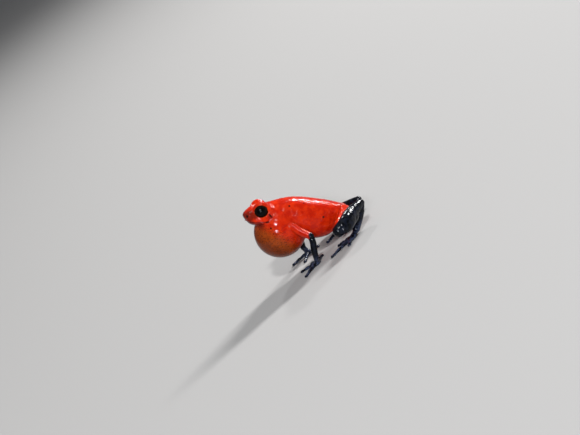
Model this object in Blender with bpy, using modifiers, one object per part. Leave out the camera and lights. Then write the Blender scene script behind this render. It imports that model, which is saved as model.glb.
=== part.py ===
"""A strawberry poison dart frog, life-size and still: a calling male, its body raised on straight
arms and folded hind legs, with the vocal sac full. Metres, +Z up, the snout towards -X.

Lengths below are in millimetres, and a place is either (ahead, above, side) in the body's own frame,
whose origin is the vent, or (back, side, up) on the floor. Side is measured outwards from the middle."""

import math

import bmesh
import bpy
from mathutils import Matrix, Vector

MM = 0.001
GAP = 0.3  # between a node and what it grows from
EYE_GAP = 0.2  # between the eyeball and its socket
SIDES = {"left": -1, "right": 1}  # the sign of Y

# The body leans back, so that its own axis climbs towards the snout.
BODY_PITCH = math.radians(38.4)
VENT = Vector((9.17, 0.0, 4.52))

# Head and torso in one form: ahead, top, bottom, half width, height of the widest line as a share, boxiness.
TRUNK = (
    (0.10, 0.20, -0.75, 0.60, 0.50, 2.0),
    (0.45, 0.42, -1.40, 1.20, 0.50, 2.0),
    (1.00, 0.64, -2.35, 1.85, 0.50, 2.1),
    (1.70, 0.86, -3.45, 2.45, 0.50, 2.2),
    (2.60, 1.05, -4.70, 2.95, 0.48, 2.2),
    (3.70, 1.26, -5.65, 3.45, 0.46, 2.2),
    (5.50, 1.54, -6.25, 3.92, 0.45, 2.2),
    (7.60, 1.78, -6.42, 4.02, 0.45, 2.2),
    (9.65, 1.93, -6.40, 3.85, 0.46, 2.2),
    (11.70, 1.90, -6.05, 3.55, 0.47, 2.2),
    (13.70, 1.58, -5.10, 3.25, 0.42, 2.1),
    (15.40, 1.10, -4.15, 3.10, 0.32, 2.0),
    (16.60, 0.84, -3.78, 3.18, 0.24, 1.9),
    (17.60, 0.74, -3.78, 3.20, 0.23, 1.8),
    (18.60, 0.52, -3.82, 2.98, 0.27, 1.8),
    (19.40, 0.16, -3.70, 2.58, 0.31, 1.9),
    (20.00, -0.24, -3.40, 2.15, 0.34, 2.0),
    (20.50, -0.70, -2.92, 1.70, 0.36, 2.0),
    (20.90, -1.14, -2.48, 1.20, 0.42, 2.0),
    (21.12, -1.46, -2.12, 0.72, 0.50, 2.0),
)
TRUNK_ENDS = ((-0.05, -0.25), (21.25, -1.80))  # ahead and above of the vent's and the snout's tips
TRUNK_SIDES = 32
TRUNK_RINGS = 36
NECK = 15.2  # ahead

SAC_CENTRE = (13.55, -5.14, 0.0)
SAC_RADII = (5.25, 5.22, 4.70)

EYE_CENTRE = (17.79, -0.82, 1.74)
EYE_RADIUS = 1.45
EYE_GAZE = (0.22, 0.12, 1.0)
BROW_CENTRE = (17.75, -0.40, 1.90)
BROW_RADII = (1.78, 1.62, 1.12)
LID_SPREAD = (1.47, 1.31)  # the lids' ring, along the head and across it
LID_THICKNESS = 0.22

# On the head's side: ahead and above.
NOSTRIL = (20.62, -1.86)
NOSTRIL_RADIUS = 0.20
EAR = (16.05, -1.70)
EAR_RADIUS = 0.75
EAR_DEPTH = 0.16
MOUTH = ((16.7, -2.66), (17.7, -2.84), (18.6, -2.95), (19.5, -3.03), (20.4, -3.06), (21.3, -3.06))
MOUTH_WIDTH = 0.16
MOUTH_DEPTH = 0.40
MOUTH_HALF = 4.0
LIP_RISE = 0.20  # the upper lip's edge, above the mouth
LIP_RADIUS = 0.13

# Limb segments: places on the floor frame, then radii along them. Each starts inside what carries it.
UPPER_ARM_RADII = (1.10, 0.88, 0.76, 0.72)
UPPER_ARM = ((-2.85, 2.30, 10.45), (-2.45, 3.68, 9.45), (-1.75, 5.00, 7.55), (-0.73, 6.05, 5.85))
FOREARM_RADII = (0.64, 0.64, 0.68, 0.62)
FOREARM = ((-0.73, 6.05, 5.85), (-1.15, 6.20, 4.55), (-1.90, 6.12, 3.15), (-2.38, 5.85, 1.75))
THIGH_RADII = (1.25, 1.42, 1.42, 1.24)
THIGH = {
    "left": ((8.20, 1.50, 4.40), (7.60, 3.45, 4.10), (6.05, 5.75, 3.95), (4.15, 7.95, 3.65)),
    "right": ((8.20, 1.50, 4.40), (7.60, 3.40, 3.95), (6.50, 5.60, 3.25), (5.25, 7.70, 2.60)),
}
SHANK_RADII = (1.14, 1.48, 1.42, 0.80)
SHANK = {
    "left": ((4.05, 8.40, 3.90), (6.20, 7.78, 4.02), (8.42, 5.72, 4.25), (11.40, 3.75, 4.30)),
    "right": ((5.15, 8.10, 2.55), (7.12, 6.88, 2.84), (9.34, 4.88, 3.00), (12.15, 2.50, 3.38)),
}
TARSUS_RADII = (0.76, 1.02, 1.04, 0.80)
TARSUS = {
    "left": ((11.50, 3.65, 4.25), (10.10, 4.15, 3.10), (8.55, 4.80, 2.02), (7.45, 5.35, 1.08)),
    "right": ((12.20, 2.45, 3.35), (11.15, 3.02, 2.45), (10.10, 3.64, 1.64), (9.10, 4.22, 1.02)),
}
LIMB_SIDES = 12
LIMB_RINGS = 8
CAP_RINGS = 2

# Hands and feet point in a heading, turned outwards from straight ahead. Each digit adds its own turn,
# and has its length from the palm or the ball of the foot. A toe starts a little way back from there.
WRIST_RADII = (0.58, 0.54, 0.44)
PALM = {"left": (-2.85, 4.75, 0.36), "right": (-2.15, 5.35, 0.36)}
PALM_RADII = (0.85, 0.95, 0.42)
HAND_HEADING = {"left": -40.0, "right": -66.0}
FINGERS = {
    "left": ((-87.0, 3.5), (-38.0, 3.1), (5.0, 4.3), (72.0, 4.4)),
    "right": ((-112.0, 2.7), (-46.0, 3.0), (6.0, 4.2), (70.0, 4.3)),
}
INSTEP = {
    "left": ((7.50, 5.33, 1.02), (6.72, 5.72, 0.70), (6.00, 6.05, 0.48), (5.25, 6.35, 0.42)),
    "right": ((9.00, 4.26, 1.00), (8.35, 4.54, 0.68), (7.70, 4.80, 0.48), (7.00, 5.10, 0.42)),
}
INSTEP_RADII = (0.74, 0.76, 0.82, 0.78)
INSTEP_FLATNESS = 0.62
FOOT_HEADING = {"left": 12.0, "right": -21.0}
TOES = ((-100.0, 1.8, 0.9), (-78.0, 2.7, 0.6), (-54.0, 3.8, 0.2), (0.0, 5.6, 0.0), (45.0, 2.9, 0.3))
DIGIT_WIDTHS = (0.37, 0.32, 0.29, 0.27, 0.40, 0.45, 0.36)  # half widths, the last three the disc's
DIGIT_HEIGHTS = (0.33, 0.30, 0.27, 0.26, 0.25, 0.24, 0.19)
DISC_STATIONS = (-0.62, -0.34, -0.09)  # from the digit's tip
DIGIT_SIDES = 6
SOLE = 0.05  # how far the digits' undersides would dip below the floor, which cuts them flat

RED = ("red skin", (0.72, 0.045, 0.012), 0.30)
SAC_BROWN = ("vocal sac", (0.45, 0.085, 0.025), 0.38)
BLUE_BLACK = ("blue-black skin", (0.012, 0.014, 0.024), 0.28)
EYE_BLACK = ("eye", (0.004, 0.004, 0.004), 0.05)


def body(ahead, above, side, sign=1):
    """The point of the floor frame at a place in the body's own frame."""
    along = Vector((-math.cos(BODY_PITCH), 0, math.sin(BODY_PITCH)))
    upwards = Vector((math.sin(BODY_PITCH), 0, math.cos(BODY_PITCH)))
    return VENT + along * ahead + upwards * above + Vector((0, side * sign, 0))


def body_turn(sign=1):
    """The rotation whose columns are the body's axes: ahead, above and outwards."""
    along = Vector((-math.cos(BODY_PITCH), 0, math.sin(BODY_PITCH)))
    upwards = Vector((math.sin(BODY_PITCH), 0, math.cos(BODY_PITCH)))
    return Matrix((along, upwards, Vector((0, sign, 0)))).transposed()


def floor_place(place, sign):
    back, side, up = place
    return Vector((back, side * sign, up))


def spline(values, t):
    """A value at t, from 0 to 1, on a smooth curve through evenly spaced numbers or vectors."""
    last = len(values) - 1
    at = min(t * last, last - 1e-9)
    i = int(at)
    f = at - i
    before, start, end, after = (values[min(max(j, 0), last)] for j in (i - 1, i, i + 1, i + 2))
    if i == 0:
        before = start * 2 - end
    if i == last - 1:
        after = end * 2 - start
    return (start * 2 + (end - before) * f + (before * 2 - start * 5 + end * 4 - after) * f**2
            + (start * 3 - before - end * 3 + after) * f**3) * 0.5


def new_object(name, work):
    """An object of a bmesh made in millimetres, its faces pointing out."""
    bmesh.ops.recalc_face_normals(work, faces=work.faces)
    bmesh.ops.scale(work, vec=(MM, MM, MM), verts=work.verts)
    mesh = bpy.data.meshes.new(name)
    work.to_mesh(mesh)
    work.free()
    obj = bpy.data.objects.new(name, mesh)
    bpy.context.scene.collection.objects.link(obj)
    return obj


def loft(name, rings, first, last):
    """A closed form through rings of equally many points, drawn to a point at each end."""
    work = bmesh.new()
    rows = [[work.verts.new(point) for point in ring] for ring in rings]
    tips = [work.verts.new(first), work.verts.new(last)]
    count = len(rows[0])
    for k in range(count):
        n = (k + 1) % count
        work.faces.new((tips[0], rows[0][n], rows[0][k]))
        work.faces.new((tips[1], rows[-1][k], rows[-1][n]))
        for low, high in zip(rows, rows[1:]):
            work.faces.new((low[k], low[n], high[n], high[k]))
    return new_object(name, work)


def trunk_station(t):
    """Ahead, top, bottom, half width, height of the widest line and boxiness at t, from 0 to 1."""
    ahead, top, bottom, half = spline([Vector(station[:4]) for station in TRUNK], t)
    share, boxiness = spline([Vector(station[4:]) for station in TRUNK], t)
    return ahead, top, bottom, half, bottom + (top - bottom) * share, boxiness


def trunk_side(ahead, above):
    """How far the trunk reaches from the middle at a place seen from the side."""
    low, high = 0.0, 1.0
    while high - low > 1e-4:
        t = (low + high) / 2
        low, high = (t, high) if trunk_station(t)[0] < ahead else (low, t)
    at, top, bottom, half, widest, boxiness = trunk_station(low)
    share = (above - widest) / (top - widest if above > widest else bottom - widest)
    return half * max(0.0, 1 - share**boxiness) ** (1 / boxiness)


def trunk_front(above):
    """How far ahead the underside of the snout reaches at a height."""
    low, high = 0.5, 1.0
    while high - low > 1e-4:
        t = (low + high) / 2
        low, high = (t, high) if trunk_station(t)[2] < above else (low, t)
    return trunk_station(low)[0]


def trunk(name, grow=0.0):
    """Head and torso, larger all round by grow."""
    rings = []
    for i in range(TRUNK_RINGS):
        ahead, top, bottom, half, widest, boxiness = trunk_station(i / (TRUNK_RINGS - 1))
        top, bottom, half = top + grow, bottom - grow, half + grow
        ring = []
        for k in range(TRUNK_SIDES):
            turn = 2 * math.pi * k / TRUNK_SIDES
            c, s = math.cos(turn), math.sin(turn)
            side = half * math.copysign(abs(c) ** (2 / boxiness), c)
            rise = (top - widest if s > 0 else widest - bottom) * abs(s) ** (2 / boxiness)
            ring.append(body(ahead, widest + math.copysign(rise, s), side))
        rings.append(ring)
    (rear, rear_height), (front, front_height) = TRUNK_ENDS
    return loft(name, rings, body(rear - grow, rear_height, 0), body(front + grow, front_height, 0))


def tube(name, places, radii, sides=LIMB_SIDES, rings=LIMB_RINGS, flatness=1.0, grow=0.0):
    """A limb through the places, with round ends and a radius that changes along it."""
    sections = []
    for i in range(rings):
        t = i / (rings - 1)
        ahead = (spline(places, min(t + 0.01, 1)) - spline(places, max(t - 0.01, 0))).normalized()
        sections.append((spline(places, t), ahead, spline(radii, t) + grow))
    first, last = sections[0], sections[-1]
    angles = [math.pi / 2 * i / (CAP_RINGS + 1) for i in range(1, CAP_RINGS + 1)]
    start = [(first[0] - first[1] * first[2] * math.cos(a), first[1], first[2] * math.sin(a)) for a in angles]
    end = [(last[0] + last[1] * last[2] * math.cos(a), last[1], last[2] * math.sin(a)) for a in angles[::-1]]
    points = []
    for centre, ahead, radius in start + sections + end:
        across = Vector((0, 0, 1)).cross(ahead).normalized()
        rise = ahead.cross(across)
        ring = []
        for k in range(sides):
            turn = 2 * math.pi * k / sides
            ring.append(centre + across * radius * math.cos(turn) + rise * radius * flatness * math.sin(turn))
        points.append(ring)
    return loft(name, points, first[0] - first[1] * first[2], last[0] + last[1] * last[2])


def ball(name, centre, radii, turn=None, segments=24, rings=14):
    """An ellipsoid with its poles along the last of its three axes."""
    work = bmesh.new()
    bmesh.ops.create_uvsphere(work, u_segments=segments, v_segments=rings, radius=1)
    turn = (turn or Matrix.Identity(3)).to_4x4()
    place = Matrix.Translation(centre) @ turn @ Matrix.Diagonal((*radii, 1))
    bmesh.ops.transform(work, matrix=place, verts=work.verts)
    return new_object(name, work)


def lids(name, sign, segments=24, sides=6):
    """The ring of an eye's lids, wider than high, which follows the socket's round surface."""
    gaze = (body_turn(sign) @ Vector(EYE_GAZE)).normalized()
    along = (body_turn(sign).col[0] - gaze * body_turn(sign).col[0].dot(gaze)).normalized()
    across = gaze.cross(along)
    centre = body(*EYE_CENTRE, sign)
    socket = EYE_RADIUS + EYE_GAP
    work = bmesh.new()
    rows = []
    for i in range(segments):
        a = 2 * math.pi * i / segments
        flat = along * LID_SPREAD[0] * math.cos(a) + across * LID_SPREAD[1] * math.sin(a)
        outwards = flat + gaze * math.sqrt(socket**2 - flat.length_squared)
        tangent = outwards.cross(gaze).cross(outwards).normalized()
        row = []
        for k in range(sides):
            b = 2 * math.pi * k / sides
            round_it = outwards.normalized() * math.sin(b) + tangent * math.cos(b)
            row.append(work.verts.new(centre + outwards + round_it * LID_THICKNESS))
        rows.append(row)
    for i, row in enumerate(rows):
        following = rows[(i + 1) % segments]
        for k in range(sides):
            n = (k + 1) % sides
            work.faces.new((row[k], row[n], following[n], following[k]))
    return new_object(name, work)


def digit(name, start, heading, length, sign):
    """A finger or toe lying on the floor, ending in its flat round disc."""
    ahead = Vector((-math.cos(heading), math.sin(heading) * sign, 0))
    across = Vector((-ahead.y, ahead.x, 0))
    free = len(DIGIT_WIDTHS) - len(DISC_STATIONS)
    stations = [(length + DISC_STATIONS[0]) * i / free for i in range(free)]
    stations += [length + back for back in DISC_STATIONS]
    lowest = math.sin(2 * math.pi * round(DIGIT_SIDES * 0.75) / DIGIT_SIDES)
    rings = []
    for along, width, height in zip(stations, DIGIT_WIDTHS, DIGIT_HEIGHTS):
        centre = Vector((start.x, start.y, -height * lowest - SOLE)) + ahead * along
        ring_points = []
        for k in range(DIGIT_SIDES):
            turn = 2 * math.pi * k / DIGIT_SIDES
            ring_points.append(centre + across * width * math.cos(turn) + Vector((0, 0, height * math.sin(turn))))
        rings.append(ring_points)
    root = Vector((start.x, start.y, DIGIT_HEIGHTS[0] - SOLE)) - ahead * 0.2
    tip = Vector((start.x, start.y, DIGIT_HEIGHTS[-1] * 0.8 - SOLE)) + ahead * length
    return loft(name, rings, root, tip)


def finish_modifiers(obj):
    """Applies the object's modifiers."""
    bpy.context.view_layer.update()
    evaluated = obj.evaluated_get(bpy.context.evaluated_depsgraph_get())
    mesh = bpy.data.meshes.new_from_object(evaluated)
    obj.modifiers.clear()
    obj.data = mesh


def keep_largest(obj):
    """Leaves only the object's largest closed surface."""
    work = bmesh.new()
    work.from_mesh(obj.data)
    left = set(work.verts)
    islands = []
    while left:
        island, edge = set(), {next(iter(left))}
        while edge:
            island |= edge
            edge = {e.other_vert(v) for v in edge for e in v.link_edges} - island
        islands.append(island)
        left -= island
    def spread(island):
        return sum(max(v.co[i] for v in island) - min(v.co[i] for v in island) for i in range(3))
    largest = max(islands, key=spread)
    bmesh.ops.delete(work, geom=[v for v in work.verts if v not in largest], context="VERTS")
    work.to_mesh(obj.data)
    work.free()


def join(obj, pieces):
    """Unites the object with the pieces, which are closed and overlap it."""
    group = bpy.data.collections.new("pieces")
    for piece in pieces:
        bpy.context.scene.collection.objects.unlink(piece)
        group.objects.link(piece)
    modifier = obj.modifiers.new("Join", "BOOLEAN")
    modifier.operation = "UNION"
    modifier.operand_type = "COLLECTION"
    modifier.collection = group
    modifier.solver = "EXACT"
    finish_modifiers(obj)
    for piece in pieces:
        bpy.data.objects.remove(piece)
    bpy.data.collections.remove(group)
    keep_largest(obj)
    return obj


def cut(obj, *cutters):
    """Takes each cutter out of the object."""
    for cutter in cutters:
        modifier = obj.modifiers.new("Cut", "BOOLEAN")
        modifier.operation = "DIFFERENCE"
        modifier.object = cutter
        modifier.solver = "EXACT"
        finish_modifiers(obj)
        bpy.data.objects.remove(cutter)
    keep_largest(obj)
    return obj


def slice_off(obj, point, normal):
    """Cuts the object by a plane, removes what lies on the normal's side and closes it flat."""
    work = bmesh.new()
    work.from_mesh(obj.data)
    geometry = [*work.verts, *work.edges, *work.faces]
    done = bmesh.ops.bisect_plane(work, geom=geometry, plane_co=point * MM, plane_no=normal, clear_outer=True)
    edges = [item for item in done["geom_cut"] if isinstance(item, bmesh.types.BMEdge)]
    bmesh.ops.contextual_create(work, geom=edges)
    bmesh.ops.recalc_face_normals(work, faces=work.faces)
    work.to_mesh(obj.data)
    work.free()
    return obj


def segment(name, places, radii, side, grow=0.0):
    """One of the limb segments above, on one side."""
    if isinstance(places, dict):
        places = places[side]
    return tube(name, [floor_place(p, SIDES[side]) for p in places], radii, grow=grow)


def sac(name, grow=0.0):
    radii = [radius + grow for radius in SAC_RADII]
    return ball(name, body(*SAC_CENTRE), radii, body_turn(), segments=32, rings=18)


def mouth_blade():
    """The thin slit of the mouth, as deep as MOUTH_DEPTH all round the snout."""
    work = bmesh.new()
    rows = []
    for i in range(2 * len(MOUTH) - 1):
        ahead, above = spline([Vector(place) for place in MOUTH], i / (2 * len(MOUTH) - 2))
        rows.append([work.verts.new(body(ahead, above, side)) for side in (-MOUTH_HALF, MOUTH_HALF)])
    for low, high in zip(rows, rows[1:]):
        work.faces.new((low[0], low[1], high[1], high[0]))
    blade = new_object("mouth blade", work)
    modifier = blade.modifiers.new("Solidify", "SOLIDIFY")
    modifier.thickness = MOUTH_WIDTH * MM
    modifier.offset = 0
    finish_modifiers(blade)
    return cut(blade, trunk("mouth floor", grow=-MOUTH_DEPTH))


def upper_lip():
    """The rounded edge of the upper jaw, from one corner of the mouth round the snout to the other."""
    half = [(ahead, above + LIP_RISE) for ahead, above in MOUTH[:-1]]
    half = [(ahead, above, trunk_side(ahead, above)) for ahead, above in half]
    edge = MOUTH[-1][1] + LIP_RISE
    front = body(trunk_front(edge) - LIP_RADIUS / 2, edge, 0)
    path = [body(*place, SIDES["left"]) for place in half] + [front]
    path += [body(*place, SIDES["right"]) for place in half[::-1]]
    return tube("upper lip", path, [LIP_RADIUS] * 3, 6, 22)


def make_torso():
    torso = trunk("torso")
    ahead = body_turn().col[0]
    return slice_off(torso, body(NECK - GAP / 2, 0, 0), ahead)


def make_head():
    head = trunk("head")
    ahead = body_turn().col[0]
    slice_off(head, body(NECK + GAP / 2, 0, 0), -ahead)
    pieces = []
    for sign in SIDES.values():
        pieces.append(ball("brow", body(*BROW_CENTRE, sign), BROW_RADII, body_turn(sign), 20, 12))
        pieces.append(lids("lids", sign))
    join(head, [*pieces, upper_lip()])
    cutters = [mouth_blade()]
    for sign in SIDES.values():
        socket = EYE_RADIUS + EYE_GAP
        cutters.append(ball("socket", body(*EYE_CENTRE, sign), [socket] * 3, body_turn(sign), 20, 12))
        nostril = body(*NOSTRIL, trunk_side(*NOSTRIL), sign)
        cutters.append(ball("nostril", nostril, [NOSTRIL_RADIUS] * 3, None, 8, 6))
        ear = body(*EAR, trunk_side(*EAR) + EAR_RADIUS - EAR_DEPTH, sign)
        cutters.append(ball("ear", ear, [EAR_RADIUS] * 3, body_turn(sign), 14, 12))
    return cut(head, *cutters)


def make_eye(side):
    sign = SIDES[side]
    return ball(f"eye_{side}", body(*EYE_CENTRE, sign), [EYE_RADIUS] * 3, body_turn(sign), 18, 10)


def make_hand(side):
    sign = SIDES[side]
    wrist, palm = floor_place(FOREARM[-1], sign), floor_place(PALM[side], sign)
    bend = Vector(((wrist.x + palm.x) / 2, (wrist.y + palm.y) / 2, wrist.z * 0.55))
    hand = tube(f"hand_{side}", [wrist, bend, palm], WRIST_RADII, 10, 5)
    heading = math.radians(HAND_HEADING[side])
    turn = Matrix.Rotation(-heading * sign, 3, "Z")
    pieces = [ball("palm", palm, PALM_RADII, turn, 14, 8)]
    for turn_out, length in FINGERS[side]:
        pieces.append(digit("finger", palm, heading + math.radians(turn_out), length, sign))
    return join(hand, pieces)


def make_foot(side):
    sign = SIDES[side]
    places = [floor_place(p, sign) for p in INSTEP[side]]
    foot = tube(f"foot_{side}", places, INSTEP_RADII, 12, 7, INSTEP_FLATNESS)
    heading = math.radians(FOOT_HEADING[side])
    backwards = (places[0] - places[-1]).normalized()
    pieces = []
    for turn_out, length, start in TOES:
        pieces.append(digit("toe", places[-1] + backwards * start, heading + math.radians(turn_out), length, sign))
    return join(foot, pieces)


def make_limbs(side):
    def clear(name, *shape):
        """The segment that carries the next one, with the gap round it."""
        return segment(name, *shape, side, GAP)

    upper_arm = segment(f"upper_arm_{side}", UPPER_ARM, UPPER_ARM_RADII, side)
    cut(upper_arm, trunk("trunk", GAP), sac("sac", GAP))
    forearm = segment(f"forearm_{side}", FOREARM, FOREARM_RADII, side)
    cut(forearm, clear("upper arm", UPPER_ARM, UPPER_ARM_RADII))
    hand = cut(make_hand(side), clear("forearm", FOREARM, FOREARM_RADII))
    thigh = segment(f"thigh_{side}", THIGH, THIGH_RADII, side)
    cut(thigh, trunk("trunk", GAP))
    shank = segment(f"shank_{side}", SHANK, SHANK_RADII, side)
    cut(shank, clear("thigh", THIGH, THIGH_RADII), trunk("trunk", GAP))
    tarsus = segment(f"tarsus_{side}", TARSUS, TARSUS_RADII, side)
    cut(tarsus, clear("shank", SHANK, SHANK_RADII))
    foot = cut(make_foot(side), clear("tarsus", TARSUS, TARSUS_RADII))
    for obj in (hand, foot):
        slice_off(obj, Vector(), Vector((0, 0, -1)))
    return {upper_arm: RED, forearm: BLUE_BLACK, hand: BLUE_BLACK, thigh: BLUE_BLACK, shank: BLUE_BLACK,
            tarsus: BLUE_BLACK, foot: BLUE_BLACK}


def material(name, colour, roughness):
    made = bpy.data.materials.new(name)
    made.use_nodes = True
    shader = made.node_tree.nodes["Principled BSDF"]
    shader.inputs["Base Color"].default_value = (*colour, 1)
    shader.inputs["Roughness"].default_value = roughness
    shader.inputs["Metallic"].default_value = 0
    return made


def main():
    for obj in list(bpy.data.objects):
        bpy.data.objects.remove(obj)
    looks = {
        make_torso(): RED,
        make_head(): RED,
        cut(sac("vocal_sac"), trunk("trunk", GAP)): SAC_BROWN,
    }
    for side in SIDES:
        looks[make_eye(side)] = EYE_BLACK
        looks.update(make_limbs(side))
    materials = {look: material(*look) for look in set(looks.values())}
    frog = bpy.data.objects.new("poison_dart_frog", None)
    group = bpy.data.collections.new("poison dart frog")
    bpy.context.scene.collection.children.link(group)
    group.objects.link(frog)
    corners = []
    for obj, look in looks.items():
        obj.data.materials.clear()
        obj.data.materials.append(materials[look])
        obj.data.shade_smooth()
        obj.data.set_sharp_from_angle(angle=math.radians(40))
        bpy.context.scene.collection.objects.unlink(obj)
        group.objects.link(obj)
        obj.parent = frog
        corners += [Vector(corner) for corner in obj.bound_box]
    middle = [(min(c[i] for c in corners) + max(c[i] for c in corners)) / 2 for i in range(2)]
    frog.location = (-middle[0], -middle[1], 0)


main()
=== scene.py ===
"""The looks of a life-size strawberry poison dart frog, a calling male with a full vocal sac.

One skin covers the whole animal: its forms are lofted, welded into one surface by a voxel remesh, filleted
where flesh meets flesh, and then given folds, lips, grain and colour. Forms are made in millimetres in the
posed animal's own frame, where the snout points to -X, Y is 0 in the middle and the floor is at Z = 0."""

import math

import bpy
import numpy as np
from mathutils import Matrix, Vector, noise


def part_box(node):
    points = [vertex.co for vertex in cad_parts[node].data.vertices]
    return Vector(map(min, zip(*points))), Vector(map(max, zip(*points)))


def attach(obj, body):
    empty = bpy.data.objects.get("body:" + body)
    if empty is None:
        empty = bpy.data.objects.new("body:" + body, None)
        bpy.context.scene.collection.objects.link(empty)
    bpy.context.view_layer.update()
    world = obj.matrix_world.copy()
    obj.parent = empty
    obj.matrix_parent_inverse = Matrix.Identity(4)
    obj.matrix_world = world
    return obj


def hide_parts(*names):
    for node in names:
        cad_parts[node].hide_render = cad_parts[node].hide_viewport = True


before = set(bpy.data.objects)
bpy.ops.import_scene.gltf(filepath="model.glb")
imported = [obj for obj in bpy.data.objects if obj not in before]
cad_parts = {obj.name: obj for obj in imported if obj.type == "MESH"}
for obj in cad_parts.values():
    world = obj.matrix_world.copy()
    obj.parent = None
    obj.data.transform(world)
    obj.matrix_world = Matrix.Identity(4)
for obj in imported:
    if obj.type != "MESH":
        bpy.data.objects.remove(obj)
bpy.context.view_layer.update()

MM = 0.001
SIDES = {"left": -1, "right": 1}  # the sign of Y

# The body leans back: its own frame has the vent as origin, and axes ahead, above and across.
BODY_PITCH = math.radians(38.4)
VENT = np.array((9.17, 0.0, 4.52))
AHEAD = np.array((-math.cos(BODY_PITCH), 0.0, math.sin(BODY_PITCH)))
ABOVE = np.array((math.sin(BODY_PITCH), 0.0, math.cos(BODY_PITCH)))
ACROSS = np.array((0.0, 1.0, 0.0))

VOXEL = 0.065  # the welded skin's mesh size

# Head and torso: ahead, top, bottom, half width, height of the widest line as a share, boxiness.
TRUNK = (
    (0.10, 0.20, -0.75, 0.60, 0.50, 2.0),
    (0.45, 0.42, -1.40, 1.20, 0.50, 2.0),
    (1.00, 0.64, -2.35, 1.85, 0.50, 2.1),
    (1.70, 0.86, -3.45, 2.45, 0.50, 2.2),
    (2.60, 1.05, -4.70, 2.95, 0.48, 2.2),
    (3.70, 1.26, -5.65, 3.45, 0.46, 2.2),
    (5.50, 1.54, -6.25, 3.92, 0.45, 2.2),
    (7.60, 1.78, -6.42, 4.02, 0.45, 2.2),
    (9.65, 1.93, -6.40, 3.85, 0.46, 2.2),
    (11.70, 1.90, -6.05, 3.55, 0.47, 2.2),
    (13.70, 1.58, -5.10, 3.25, 0.42, 2.1),
    (15.40, 1.10, -4.15, 3.10, 0.32, 2.0),
    (16.60, 0.84, -3.78, 3.18, 0.24, 1.9),
    (17.60, 0.74, -3.78, 3.20, 0.23, 1.8),
    (18.60, 0.52, -3.82, 2.98, 0.27, 1.8),
    (19.40, 0.16, -3.70, 2.58, 0.31, 1.9),
    (20.00, -0.24, -3.40, 2.15, 0.34, 2.0),
    (20.50, -0.70, -2.92, 1.70, 0.36, 2.0),
    (20.90, -1.14, -2.48, 1.20, 0.42, 2.0),
    (21.12, -1.46, -2.12, 0.72, 0.50, 2.0),
)
TRUNK_ENDS = ((-0.05, -0.25), (21.25, -1.80))  # ahead and above of the vent's and the snout's tips

SAC_CENTRE = (13.55, -5.14, 0.0)
SAC_RADII = (5.25, 5.22, 4.70)

# Softer masses that join the main forms: place in the body's frame, and half sizes there.
THROAT = ((14.3, -2.1, 0.0), (3.0, 2.6, 3.72))
TEMPLE = ((16.2, -0.95, 1.75), (1.9, 1.35, 1.22))
RUMP = ((1.9, -0.70, 1.15), (1.9, 1.45, 1.35))

EYE_CENTRE = (17.79, -0.82, 1.74)
EYE_RADIUS = 1.45
EYE_GAZE = (0.22, 0.12, 1.0)
EYE_OPENING = (1.33, 1.165)  # half of it, along the head and across it
BROW_CENTRE = (17.75, -0.40, 1.90)
BROW_RADII = (1.78, 1.62, 1.12)
LID_THICKNESS = 0.13
LID_SWELL = 0.14  # how soon a lid swells from its rim to the brow, in radians
LID_BACK = 2.6  # where the lids' form ends behind the eyeball, in radians from the gaze
LID_INSIDE = 0.35  # how deep that form reaches into the eyeball
LID_SLOPE = 1.6  # how fast the skin may rise from an eye's rim
LID_EDGE = (0.95, 1.04)  # where the skin climbs onto the lid, as shares of the opening
LIDS_REACH = 1.6  # and how far out the lids are shaped
EYE_COVERED = 0.3  # how far the skin inside the opening sinks below the eyeball's surface

# Limb segments: places and radii along them.
UPPER_ARM = ((-2.85, 2.30, 10.45), (-2.45, 3.68, 9.45), (-1.75, 5.00, 7.55), (-0.73, 6.05, 5.85))
UPPER_ARM_RADII = (1.10, 0.88, 0.76, 0.70)
FOREARM = ((-0.73, 6.05, 5.85), (-1.15, 6.20, 4.55), (-1.90, 6.12, 3.15), (-2.38, 5.85, 1.75))
FOREARM_RADII = (0.64, 0.64, 0.66, 0.58)
WRIST_RADII = (0.56, 0.52, 0.44)
THIGH = {
    "left": ((8.20, 1.50, 4.40), (7.60, 3.45, 4.10), (6.05, 5.75, 3.95), (4.15, 7.95, 3.65)),
    "right": ((8.20, 1.50, 4.40), (7.60, 3.40, 3.95), (6.50, 5.60, 3.25), (5.25, 7.70, 2.60)),
}
THIGH_RADII = (1.25, 1.42, 1.42, 1.24)
SHANK = {
    "left": ((4.05, 8.40, 3.90), (6.20, 7.78, 4.02), (8.42, 5.72, 4.25), (11.40, 3.75, 4.30)),
    "right": ((5.15, 8.10, 2.55), (7.12, 6.88, 2.84), (9.34, 4.88, 3.00), (12.15, 2.50, 3.38)),
}
SHANK_RADII = (1.14, 1.48, 1.42, 0.80)
TARSUS = {
    "left": ((11.50, 3.65, 4.25), (10.10, 4.15, 3.10), (8.55, 4.80, 2.02), (7.45, 5.35, 1.08)),
    "right": ((12.20, 2.45, 3.35), (11.15, 3.02, 2.45), (10.10, 3.64, 1.64), (9.10, 4.22, 1.02)),
}
TARSUS_RADII = (0.76, 1.02, 1.04, 0.80)
INSTEP = {
    "left": ((7.50, 5.33, 1.02), (6.72, 5.72, 0.70), (6.00, 6.05, 0.48), (5.25, 6.35, 0.42)),
    "right": ((9.00, 4.26, 1.00), (8.35, 4.54, 0.68), (7.70, 4.80, 0.48), (7.00, 5.10, 0.42)),
}
INSTEP_RADII = (0.74, 0.76, 0.82, 0.78)
INSTEP_FLATNESS = 0.62
PALM = {"left": (-2.85, 4.75, 0.36), "right": (-2.15, 5.35, 0.36)}
PALM_RADII = (0.85, 0.95, 0.42)

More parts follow.
